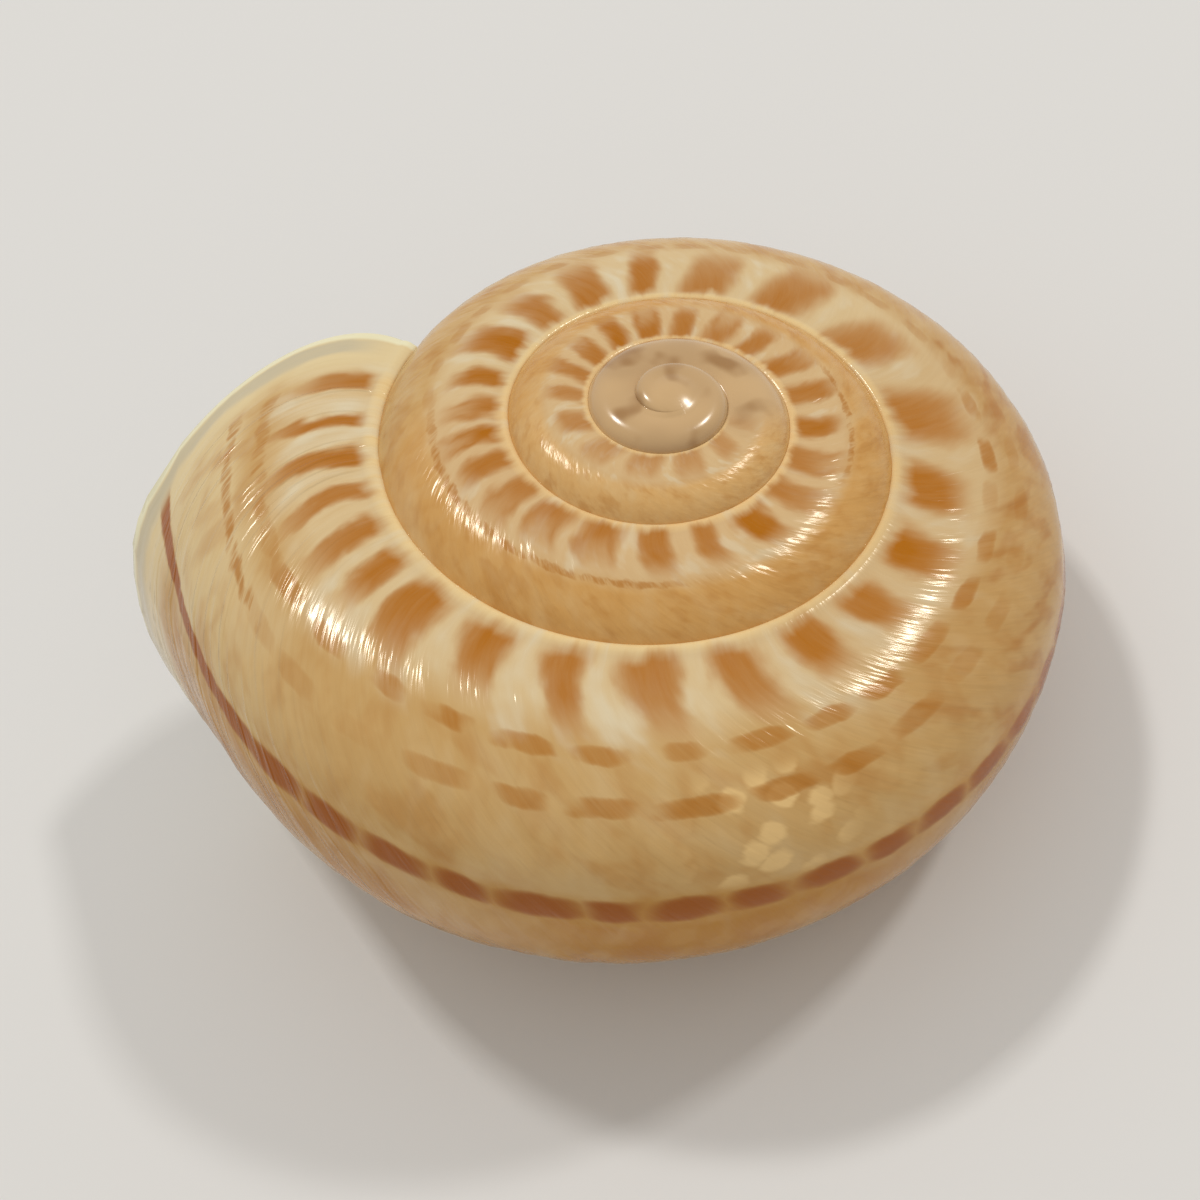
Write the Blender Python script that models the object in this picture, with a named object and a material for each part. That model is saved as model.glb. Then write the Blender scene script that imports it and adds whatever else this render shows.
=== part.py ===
"""Land snail shell: one coiled wall of four and a half right-handed whorls, with a slanting aperture and a
reflected lip. The coil is drawn around the +Z axis with its apex at the origin, and then laid on its base.

A section of the whorl is an oval outline in the half plane beside the axis. It grows and sinks as it turns round
the axis. "turn" is the growth in radians: 0 near the lip, and below 0 for what grew before. "angle" runs round
the outline: 90 degrees on top, 0 at the periphery, -90 under the base and on to the axis. "size" is the radius of
the whorl's middle, with 1 near the lip."""

from math import atan2, copysign, cos, exp, pi, radians, sin

import bmesh
import bpy
from mathutils import Matrix, Vector

# Driving dimensions. Lengths of the coil are in whorl radii, and WHORL_RADIUS makes them metres.
WHORL_RADIUS = 0.0084
GROWTH = 0.0869  # natural logarithm of the size gained per radian
EARLY_TIGHTENING = 3.35e-5  # the first whorls are smaller than the steady growth would make them
DESCENT = 0.846  # depth of the whorl's middle below the apex
DESCENT_POWER = 0.968
LAST_DROOP = 0.038  # the last stretch before the lip turns down by this much
DROOP_SPAN = 1.2
OUTER_REACH = 0.743  # the outline's half width on the outer side
INNER_REACH = 0.95  # and towards the axis, which closes the umbilicus
CROWN = 0.558  # its height above the middle
BELLY = 0.79  # and below it
SHOULDER_SLOPE = 0.034
ROUNDNESS = 2.35  # exponent of the oval, 2 for an ellipse
WALL = 0.075
UMBILICUS_ANGLES = (radians(-153), radians(-163))  # the base ends here, close to the axis
CALLUS_DEPTH = 1.0  # depth of the callus that closes the umbilicus
APEX_DEPTH = 0.018

# The lip. A growth line lags behind the suture by a share of the way round the outline.
LIP_TURN = radians(15.1)
LAG = 0.604
LAG_EASE = 0.104
LEAD = 0.129  # but first the line runs ahead, from a notch at the suture
LEAD_SPAN = 0.2
LAG_FADE = (radians(215), radians(252))  # the line comes back to the columella between these
SLANT_SPAN = radians(220)  # over this stretch the rings take up the slant of the lip
FLARE = 0.252
FLARE_SPAN = radians(215)  # the lip flares most at half of this, under the periphery
FLARE_RINGS = 3

# Laid on a table, the axis leans by REST_LEAN towards REST_LEAN_TURN, and the whole turns by REST_SPIN.
REST_LEAN = radians(13.3)
REST_LEAN_TURN = radians(-148.5)
REST_SPIN = radians(145.3)

# Mesh. One turn back is the same number of rings back, so whorls share the vertices of their suture.
RINGS_PER_TURN = 40
RINGS = 176
HOLLOW_RINGS = 70
SPIRE_STEPS = 12
PARIETAL_STEPS = 8
STEP = 2 * pi / RINGS_PER_TURN
NUCLEUS_ANGLE = radians(96)
HOLLOW_END = (1.08, -0.42)  # a point amid the hollow's last section, in its sizes

SHELL_COLOUR = (0.60, 0.40, 0.19, 1.0)
SHELL_ROUGHNESS = 0.28
SHARP_ANGLE = radians(50)


def whorl(turn):
    """Size of the whorl's outline, and the height of its middle."""
    size = exp(GROWTH * turn + EARLY_TIGHTENING * turn**3)
    droop = LAST_DROOP * min(1.0, max(0.0, 1.0 + turn / DROOP_SPAN)) ** 2
    return size, -DESCENT * size**DESCENT_POWER - droop * size


def signed_power(value, power):
    return copysign(abs(value) ** power, value)


def outline(turn, angle, inset=0.0, flare=0.0):
    """Radius and height of a point of the whorl's outline, inset by the wall or flared at the lip."""
    size, middle = whorl(turn)
    across = signed_power(cos(angle), 2 / ROUNDNESS)
    up = signed_power(sin(angle), 2 / ROUNDNESS)
    reach = (OUTER_REACH if across > 0 else INNER_REACH) * (1 + flare) - inset
    rise = (CROWN if up > 0 else BELLY) * (1 + flare) - inset
    return size * (1 + reach * across), middle + size * (rise * up + SHOULDER_SLOPE * across)


def outline_shares(turn, radius, height):
    """A point's place as shares of the outline's reach and rise."""
    size, middle = whorl(turn)
    sideways = radius / size - 1
    across = sideways / (OUTER_REACH if sideways > 0 else INNER_REACH)
    upwards = (height - middle) / size - SHOULDER_SLOPE * across
    return across, upwards / (CROWN if upwards > 0 else BELLY)


def is_outside(turn, radius, height):
    across, up = outline_shares(turn, radius, height)
    return abs(across) ** ROUNDNESS + abs(up) ** ROUNDNESS > 1


def angle_at(turn, radius, height):
    """The angle of a point that lies on the outline."""
    across, up = outline_shares(turn, radius, height)
    return atan2(signed_power(up, ROUNDNESS / 2), signed_power(across, ROUNDNESS / 2))


def meeting_angle(turn, outside, inside, inset=0.0):
    """Where the outline runs into the whorl of one turn before, between two angles."""
    for _ in range(40):
        middle = (outside + inside) / 2
        if is_outside(turn - 2 * pi, *outline(turn, middle, inset)):
            outside = middle
        else:
            inside = middle
    return outside


def suture_angle(turn, inset=0.0):
    return meeting_angle(turn, radians(80), radians(179), inset)


def columella_angle(turn, inset):
    return meeting_angle(turn, radians(-100), radians(-215), inset)


def steps(first, last, count):
    """count + 1 evenly spaced values."""
    return [first + (last - first) * n / count for n in range(count + 1)]


def eased(value):
    value = min(1.0, max(0.0, value))
    return value * value * (3 - 2 * value)


def growth_lag(way_round):
    """How far a growth line trails its own start at the suture, by the angle it has gone round the outline."""
    lag = LAG * way_round - LAG_EASE * way_round**2 - LEAD * (1 - exp(-way_round / LEAD_SPAN))
    return lag * (1 - eased((way_round - LAG_FADE[0]) / (LAG_FADE[1] - LAG_FADE[0])))


def point_on_coil(turn, radius, height):
    """The coil turns clockwise as seen from the apex, so the shell is right-handed."""
    return Vector((radius * cos(turn), -radius * sin(turn), height))


def place(ring, start, angle, inset=0.0):
    """A point of the wall's outer face, or of its inner face when inset. start is the ring's angle at the suture."""
    turn = LIP_TURN - ring * STEP
    way_round = max(0.0, start - angle)
    slant = 1 - eased(ring * STEP / SLANT_SPAN)
    flare_here = max(0.0, 1 - ring / FLARE_RINGS) ** 2
    flare = FLARE * flare_here * sin(pi * min(1.0, way_round / FLARE_SPAN)) ** 6
    turn -= slant * growth_lag(way_round)
    return point_on_coil(turn, *outline(turn, angle, inset, flare))


def spire_angles(ring):
    """The outline's angles where the whorl is seen from above, from its own suture to the next whorl's."""
    turn = LIP_TURN - ring * STEP
    first = suture_angle(turn) if ring <= RINGS - RINGS_PER_TURN else NUCLEUS_ANGLE
    following = turn + 2 * pi
    last = angle_at(turn, *outline(following, suture_angle(following)))
    return steps(first, last, SPIRE_STEPS)


def parietal_angles(ring):
    """The outline's angles that the next whorl's hollow leaves bare."""
    turn = LIP_TURN - ring * STEP
    following = turn + 2 * pi
    first = angle_at(turn, *outline(following, suture_angle(following, WALL), WALL))
    last = angle_at(turn, *outline(following, columella_angle(following, WALL), WALL))
    return steps(first, last, PARIETAL_STEPS)


def loft(bm, first, second):
    """Faces between two rows of vertices, which may share some of them."""
    for corners in zip(first, first[1:], second[1:], second):
        bm.faces.new(dict.fromkeys(corners))


def fan(bm, centre, row):
    for one, other in zip(row, row[1:]):
        bm.faces.new((centre, one, other))


def build_outer_rows(bm):
    """Rows of vertices on the outer face, from the apex to the lip, as (spire, parietal, umbilicus)."""
    pole = bm.verts.new((0, 0, -APEX_DEPTH))
    rows = {}
    for ring in range(RINGS, -1, -1):
        angles = spire_angles(ring)
        older = rows.get(ring + RINGS_PER_TURN)
        spire = [older[0][-1] if older else pole]
        spire += [bm.verts.new(place(ring, angles[0], a)) for a in angles[1:]]
        parietal, umbilicus = [], []
        if ring <= RINGS_PER_TURN + HOLLOW_RINGS:
            parietal = [bm.verts.new(place(ring, angles[0], a)) for a in parietal_angles(ring)]
        if ring <= RINGS_PER_TURN:
            umbilicus = [bm.verts.new(place(ring, angles[0], a)) for a in UMBILICUS_ANGLES]
        rows[ring] = (spire, parietal, umbilicus)
    return rows


def build_inner_rows(bm, outer):
    """Rows of vertices on the inner face, which end on the whorl of one turn before."""
    rows = []
    for ring in range(HOLLOW_RINGS + 1):
        parietal = outer[ring + RINGS_PER_TURN][1]
        spire = spire_angles(ring)
        angles = [*spire[1:], *parietal_angles(ring), UMBILICUS_ANGLES[0]]
        between = [bm.verts.new(place(ring, spire[0], a, WALL)) for a in angles]
        rows.append([parietal[0], *between, parietal[-1]])
    return rows


def skin_outer(bm, outer):
    """The outer face, down to the suture on the spire and to the umbilicus on the last whorl."""
    first_nucleus_ring = RINGS - RINGS_PER_TURN
    for ring in range(RINGS):
        newer, older = outer[ring], outer[ring + 1]
        if ring < RINGS_PER_TURN:
            loft(bm, sum(newer, []), sum(older, []))
        elif ring == first_nucleus_ring:
            loft(bm, newer[0][1:], older[0][1:])
            fan(bm, newer[0][0], [newer[0][1], older[0][1], older[0][0]])
        else:
            loft(bm, newer[0], older[0])
            if older[1]:
                loft(bm, newer[1], older[1])
    nucleus = outer[RINGS][0]
    fan(bm, nucleus[0], nucleus[1:])


def skin_hollow(bm, outer, inner):
    """The inner face of the wall, and the end of the hollow deep in the spire."""
    for newer, older in zip(inner, inner[1:]):
        loft(bm, newer, older)
    last_turn = LIP_TURN - HOLLOW_RINGS * STEP
    size, middle = whorl(last_turn)
    end_point = point_on_coil(last_turn, size * HOLLOW_END[0], middle + size * HOLLOW_END[1])
    end = bm.verts.new(end_point)
    fan(bm, end, inner[-1])
    fan(bm, end, outer[RINGS_PER_TURN + HOLLOW_RINGS][1])


def skin_lip(bm, outer, inner):
    """The lip's edge, and the callus that closes the umbilicus."""
    lip, behind = outer[0], outer[RINGS_PER_TURN]
    loft(bm, sum(lip, []), inner[0])
    callus = bm.verts.new((0, 0, -CALLUS_DEPTH))
    fan(bm, callus, [outer[ring][2][-1] for ring in range(RINGS_PER_TURN + 1)])
    fan(bm, lip[2][-1], [behind[1][-1], *behind[2], callus])


def build_shell(bm):
    outer = build_outer_rows(bm)
    inner = build_inner_rows(bm, outer)
    skin_outer(bm, outer)
    skin_hollow(bm, outer, inner)
    skin_lip(bm, outer, inner)


def lay_down(bm):
    """Scales the coil, leans it on its base, turns the lip to the left and puts the middle of its foot at 0."""
    lean_axis = Vector((-sin(REST_LEAN_TURN), cos(REST_LEAN_TURN), 0))
    turned = Matrix.Rotation(REST_SPIN, 3, "Z") @ Matrix.Rotation(REST_LEAN, 3, lean_axis)
    bmesh.ops.transform(bm, matrix=(turned * WHORL_RADIUS).to_4x4(), verts=bm.verts)
    low = Vector([min(v.co[i] for v in bm.verts) for i in range(3)])
    high = Vector([max(v.co[i] for v in bm.verts) for i in range(3)])
    foot = Vector(((low.x + high.x) / 2, (low.y + high.y) / 2, low.z))
    bmesh.ops.translate(bm, vec=-foot, verts=bm.verts)


def shell_material():
    material = bpy.data.materials.new("shell")
    material.use_nodes = True
    shader = material.node_tree.nodes["Principled BSDF"]
    shader.inputs["Base Color"].default_value = SHELL_COLOUR
    shader.inputs["Roughness"].default_value = SHELL_ROUGHNESS
    shader.inputs["Metallic"].default_value = 0.0
    return material


def main():
    for old in list(bpy.data.objects):
        bpy.data.objects.remove(old, do_unlink=True)
    collection = bpy.data.collections.new("land_snail_shell")
    bpy.context.scene.collection.children.link(collection)

    bm = bmesh.new()
    build_shell(bm)
    bmesh.ops.triangulate(bm, faces=bm.faces)
    bmesh.ops.recalc_face_normals(bm, faces=bm.faces)
    lay_down(bm)
    mesh = bpy.data.meshes.new("shell")
    bm.to_mesh(mesh)
    bm.free()
    mesh.shade_smooth()
    mesh.set_sharp_from_angle(angle=SHARP_ANGLE)
    mesh.materials.append(shell_material())
    collection.objects.link(bpy.data.objects.new("shell", mesh))


main()
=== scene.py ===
"""Land snail shell: the coiled wall with its reflected lip, and a plain studio to show it in."""

from functools import cache
from math import copysign, cos, exp, inf, pi, radians, sin

import bmesh
import bpy
from bpy.props import FloatProperty, FloatVectorProperty, IntProperty, PointerProperty
from mathutils import Matrix, Vector


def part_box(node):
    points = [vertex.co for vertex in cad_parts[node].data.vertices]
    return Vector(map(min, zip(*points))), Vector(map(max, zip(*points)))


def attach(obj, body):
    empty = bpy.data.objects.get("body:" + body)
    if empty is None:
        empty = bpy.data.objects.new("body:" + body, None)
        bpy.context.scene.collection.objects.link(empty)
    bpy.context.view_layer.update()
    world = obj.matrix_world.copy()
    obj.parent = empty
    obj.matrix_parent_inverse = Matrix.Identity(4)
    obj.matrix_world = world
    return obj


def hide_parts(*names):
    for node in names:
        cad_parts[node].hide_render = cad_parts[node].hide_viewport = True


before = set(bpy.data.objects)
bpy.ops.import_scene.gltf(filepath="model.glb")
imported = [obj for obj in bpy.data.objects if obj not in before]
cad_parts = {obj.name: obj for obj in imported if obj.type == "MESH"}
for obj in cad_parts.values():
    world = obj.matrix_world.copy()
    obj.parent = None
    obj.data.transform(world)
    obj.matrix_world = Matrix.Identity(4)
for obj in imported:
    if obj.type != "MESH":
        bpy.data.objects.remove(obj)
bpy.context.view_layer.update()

bl_info = {
    "name": "Land Snail Shell",
    "version": (1, 0, 0),
    "blender": (4, 5, 0),
    "location": "3D View > Sidebar > Snail Shell",
    "description": "Makes a coiled, banded land snail shell and its studio",
    "category": "Object",
}

COIL_MAP = "Coil"  # u is the growth in radians, v the way round the whorl in radians
SHARP_ANGLE = radians(42)


# -------- node maths

# What the Math nodes do, for plain numbers. The operators serve both as they are.
PLAIN_MATHS = {
    "POWER": pow,
    "EXPONENT": exp,
    "SINE": sin,
    "COSINE": cos,
    "ABSOLUTE": abs,
    "MINIMUM": min,
    "MAXIMUM": max,
    "SIGN": lambda a: copysign(1, a),
    "GREATER_THAN": lambda a, b: float(a > b),
}


def operator(operation):
    """The methods of one operator, for a wire on its left and on its right."""
    return (
        lambda wire, other: maths(operation, wire, other),
        lambda wire, other: maths(operation, other, wire),
    )


class Wire:
    """A node's output. Arithmetic on it adds Math nodes to its sheet."""

    def __init__(self, sheet, socket):
        self.sheet = sheet
        self.socket = socket

    __add__, __radd__ = operator("ADD")
    __sub__, __rsub__ = operator("SUBTRACT")
    __mul__, __rmul__ = operator("MULTIPLY")
    __truediv__, __rtruediv__ = operator("DIVIDE")

    def __neg__(self):
        return maths("MULTIPLY", self, -1)


class NodeSheet:
    """A node tree that is written as expressions."""

    MIX_SOCKETS = {"VECTOR": (4, 5, 1), "RGBA": (6, 7, 2)}  # both inputs and the output

    def __init__(self, tree):
        self.tree = tree
        tree.nodes.clear()

    def add(self, kind, inputs=None, **settings):
        """Adds a node: its settings first, then the values or links of its sockets."""
        node = self.tree.nodes.new(kind)
        for name, value in settings.items():
            if name == "stops":
                self.set_stops(node.color_ramp, value)
            else:
                setattr(node, name, value)
        for name, value in (inputs or {}).items():
            if isinstance(value, Wire):
                self.tree.links.new(value.socket, node.inputs[name])
            else:
                node.inputs[name].default_value = value
        return node

    @staticmethod
    def set_stops(ramp, stops):
        for _ in range(len(stops) - 2):
            ramp.elements.new(0.5)
        for element, (position, colour) in zip(ramp.elements, stops):
            element.position = position
            element.color = colour

    def wire(self, kind, inputs=None, output=0, **settings):
        return Wire(self, self.add(kind, inputs, **settings).outputs[output])

    def maths(self, operation, *values):
        return self.wire("ShaderNodeMath", dict(enumerate(values)), operation=operation)

    def vector(self, x, y, z=0):
        return self.wire("ShaderNodeCombineXYZ", {"X": x, "Y": y, "Z": z})

    def mix(self, kind, amount, one, other, **settings):
        first, second, output = self.MIX_SOCKETS[kind]
        inputs = {0: amount, first: one, second: other}
        return self.wire("ShaderNodeMix", inputs, output, data_type=kind, **settings)

    def noise(self, place, scale, detail, roughness=0.5):
        inputs = {"Vector": place, "Scale": scale, "Detail": detail, "Roughness": roughness}
        return self.wire("ShaderNodeTexNoise", inputs)


def maths(operation, *values):
    """One step of arithmetic, on numbers or on wires."""
    for value in values:
        if isinstance(value, Wire):
            return value.sheet.maths(operation, *values)
    return PLAIN_MATHS[operation](*values)


def clamped(value):
    return maths("MINIMUM", maths("MAXIMUM", value, 0), 1)


def eased(value):
    """0 below 0, 1 above 1 and smooth between."""
    value = clamped(value)
    return value * value * (3 - 2 * value)


def between(value, first, last):
    """Rises from 0 at first to 1 at last, or falls where first is the greater."""
    return eased((value - first) * (1 / (last - first)))


def signed_power(value, power):
    return maths("SIGN", value) * maths("POWER", maths("ABSOLUTE", value), power)


# -------- the coil's rule

class CoilRule:
    """Where the wall goes. A section of the whorl is an oval in the half plane beside the axis, and it
    grows and sinks as it turns. "turn" is the growth in radians, 0 near the lip; "angle" runs round the
    oval, 90 degrees on top and 0 at the periphery; "way" is the angle gone from the suture. Works on
    numbers and on wires."""

    HALVINGS = 34  # of the search for a meeting angle

    def __init__(self, values):
        self.__dict__.update(values)

    def whorl(self, turn):
        size = maths("EXPONENT", self.growth * turn + self.early_tightening * turn * turn * turn)
        droop_share = clamped(1 + turn / self.droop_span)
        droop = self.last_droop * droop_share * droop_share
        return size, -self.descent * maths("POWER", size, self.descent_power) - droop * size

    def outline(self, turn, angle, inset=0, flare=0):
        size, middle = self.whorl(turn)
        across = signed_power(maths("COSINE", angle), 2 / self.roundness)
        up = signed_power(maths("SINE", angle), 2 / self.roundness)
        outer = maths("GREATER_THAN", across, 0)
        upper = maths("GREATER_THAN", up, 0)
        reach = self.inner_reach + (self.outer_reach - self.inner_reach) * outer
        rise = self.belly + (self.crown - self.belly) * upper
        reach = reach * (1 + flare) - inset
        rise = rise * (1 + flare) - inset
        radius = size * (1 + reach * across)
        return radius, middle + size * (rise * up + self.shoulder_slope * across)

    def shares(self, turn, radius, height):
        """A point's place as shares of the oval's reach and rise."""
        size, middle = self.whorl(turn)
        sideways = radius / size - 1
        across = sideways / (self.outer_reach if sideways > 0 else self.inner_reach)
        upwards = (height - middle) / size - self.shoulder_slope * across
        return across, upwards / (self.crown if upwards > 0 else self.belly)

    def is_outside(self, turn, radius, height):
        across, up = self.shares(turn, radius, height)
        return abs(across) ** self.roundness + abs(up) ** self.roundness > 1

    def angle_at(self, turn, radius, height):
        across, up = self.shares(turn, radius, height)
        half = self.roundness / 2
        return Vector((signed_power(across, half), signed_power(up, half))).angle_signed(Vector((1, 0)))

    def meeting_angle(self, turn, outside, inside, inset=0):
        """Where the oval runs into the whorl of one turn before, between two angles."""
        for _ in range(self.HALVINGS):
            middle = (outside + inside) / 2
            if self.is_outside(turn - 2 * pi, *self.outline(turn, middle, inset)):
                outside = middle
            else:
                inside = middle
        return outside

    def growth_lag(self, way):
        """How far a growth line trails its own start at the suture."""
        lag = self.lag * way - self.lag_ease * way * way
        lag = lag - self.lead * (1 - maths("EXPONENT", way * (-1 / self.lead_span)))
        return lag * (1 - between(way, self.lag_fade_start, self.lag_fade_end))

    def slant(self, behind_lip):
        """1 at the lip, where the rings follow the growth lines, and 0 where they stand square."""
        return 1 - eased(behind_lip * (1 / self.slant_span))

    def flare(self, behind_lip, way):
        near = clamped(1 - behind_lip * (1 / self.flare_length))
        bulge = maths("SINE", pi * clamped(way * (1 / self.flare_span)))
        cube = bulge * bulge * bulge
        return self.flare_height * near * near * cube * cube

    def place(self, turn, angle, way, inset):
        """A point of the wall, in whorl radii from the apex."""
        behind_lip = self.lip_turn - turn
        flare = self.flare(behind_lip, way)
        actual = turn - self.slant(behind_lip) * self.growth_lag(way)
        return around(actual, *self.outline(actual, angle, inset, flare))


def around(turn, radius, height):
    """The coordinates of a point that lies in the half plane of a turn."""
    return radius * maths("COSINE", turn), -radius * maths("SINE", turn), height


# -------- settings

def label(name):
    return name.replace("_", " ").capitalize()


def labelled(group):
    """Labels each setting of a group with its own name."""
    for name, setting in group.__annotations__.items():
        setting.keywords["name"] = label(name)
    return group


def number(description, default, **more):
    return FloatProperty(description=description, default=default, precision=4, **more)


def angle(description, degrees):
    return FloatProperty(description=description, default=radians(degrees), subtype="ANGLE")


def colour(description, red, green, blue):
    """A colour given as it looks, in 0 to 255."""
    default = [linear(part / 255) for part in (red, green, blue)]
    return FloatVectorProperty(description=description, default=default, subtype="COLOR", min=0, max=1)


def linear(part):
    return part / 12.92 if part <= 0.04045 else ((part + 0.055) / 1.055) ** 2.4


@labelled
class CoilSizes(bpy.types.PropertyGroup):
    """Sizes of the coil. Lengths are in whorl radii unless they have a unit."""

    whorl_radius: number("From the axis to the whorl's middle near the lip", 0.0084, unit="LENGTH")
    growth: number("Natural logarithm of the size gained per radian", 0.0869)
    early_tightening: number("Makes the first whorls smaller", 3.35e-5)
    descent: number("Depth of the whorl's middle below the apex", 0.846)
    descent_power: number("How the depth follows the size", 0.968)
    last_droop: number("How far the last stretch turns down", 0.038)
    droop_span: number("Length of the stretch that turns down, in radians", 1.2)
    outer_reach: number("Half width of the section on the outer side", 0.743)
    inner_reach: number("Half width towards the axis", 0.95)
    crown: number("Height of the section above its middle", 0.558)
    belly: number("Depth of the section below its middle", 0.79)
    shoulder_slope: number("Rise towards the outer side", 0.034)
    roundness: number("Exponent of the oval, 2 for an ellipse", 2.35)
    wall: number("Thickness of the wall", 0.075)
    callus_depth: number("Depth of the callus below the apex", 1)
    apex_depth: number("Depth of the pole below the apex", 0.018)
    lip_turn: angle("Growth at the lip", 14.4)
    lip_roll: number("How far the rounded edge stands forward, in radians", 0.014)
    lag: number("Slant of the growth lines", 0.604)
    lag_ease: number("How much the slant eases off", 0.104)
    lead: number("How far a growth line first runs ahead", 0.129)
    lead_span: number("Over how much of the way it does", 0.2)
    lag_fade_start: angle("Where growth lines turn back to the columella", 215)
    lag_fade_end: angle("Where they reach it", 252)
    slant_span: angle("Stretch over which the rings take up the slant", 220)
    flare_height: number("How much the lip flares", 0.252)
    flare_span: angle("The lip flares most at half of this", 215)
    flare_length: angle("The flare begins this far behind the lip", 27)
    ridge_height: number("Height of the growth ridges", 0.011)
    bead_height: number("Height of the thread along the suture", 0.012)
    seed: IntProperty(description="Changes the ridges", default=3, min=0)
    apex_place: FloatVectorProperty(
        description="The apex when the shell lies on its base",
        default=(0.003727495, 0.001390866, 0.011555552),
        precision=5,
        unit="LENGTH",
    )
    lean: angle("How far the axis leans when the shell lies on its base", 13.3)
    lean_turn: angle("The way in which it leans", -148.5)
    spin: angle("Turn about the upright", 145.3)
    rings_per_turn: IntProperty(description="Fineness along the coil", default=320, min=40)


@labelled
class ShellColours(bpy.types.PropertyGroup):
    """Colours of the shell's bands and finishes."""

    suture_thread: colour("Thread where whorls meet", 238, 209, 152)
    shoulder: colour("Ground between the flames", 219, 191, 143)
    side: colour("Ground of the whorl's side", 204, 164, 104)
    base: colour("Ground below the dark band", 186, 127, 26)
    underside: colour("Ground towards the umbilicus", 202, 160, 98)
    cream_patch: colour("Pale patches between the flames", 226, 212, 180)
    flame: colour("Tongues below the suture", 177, 105, 0)
    spot: colour("Spots in rows on the side", 176, 108, 18)
    band: colour("Dashes round the periphery", 159, 83, 0)
    fleck: colour("Pale flecks", 233, 195, 132)
    early: colour("Glossy first whorls", 209, 172, 122)
    early_haze: colour("Greyish haze over the first whorls", 192, 156, 110)
    smudge: colour("Dark smudges on the first whorls", 148, 100, 44)
    lip_edge: colour("Rim of the lip", 238, 230, 192)
    lip_cream: colour("Plain zone behind the lip", 228, 206, 158)
    lip_shade: colour("Greyish strip behind the rim", 196, 185, 158)
    inside: colour("Glaze inside the aperture", 226, 204, 166)


@labelled
class StudioSettings(bpy.types.PropertyGroup):
    """Light, floor and camera."""

    world_level: number("Strength of the light from all round", 0.55, min=0)
    left_lamp: number("Power of the lamp at the back left", 5.9, min=0, unit="POWER")
    right_lamp: number("Power of the lamp at the right", 5, min=0, unit="POWER")
    floor_colour: colour("Colour of the floor", 226, 224, 220)
    floor_width: number("Side of the floor", 1.6, unit="LENGTH")
    backdrop: colour("What shows beyond the floor", 221, 218, 213)
    lens: number("Focal length of the camera in millimetres", 44.547, min=1)


# -------- the shell

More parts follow.
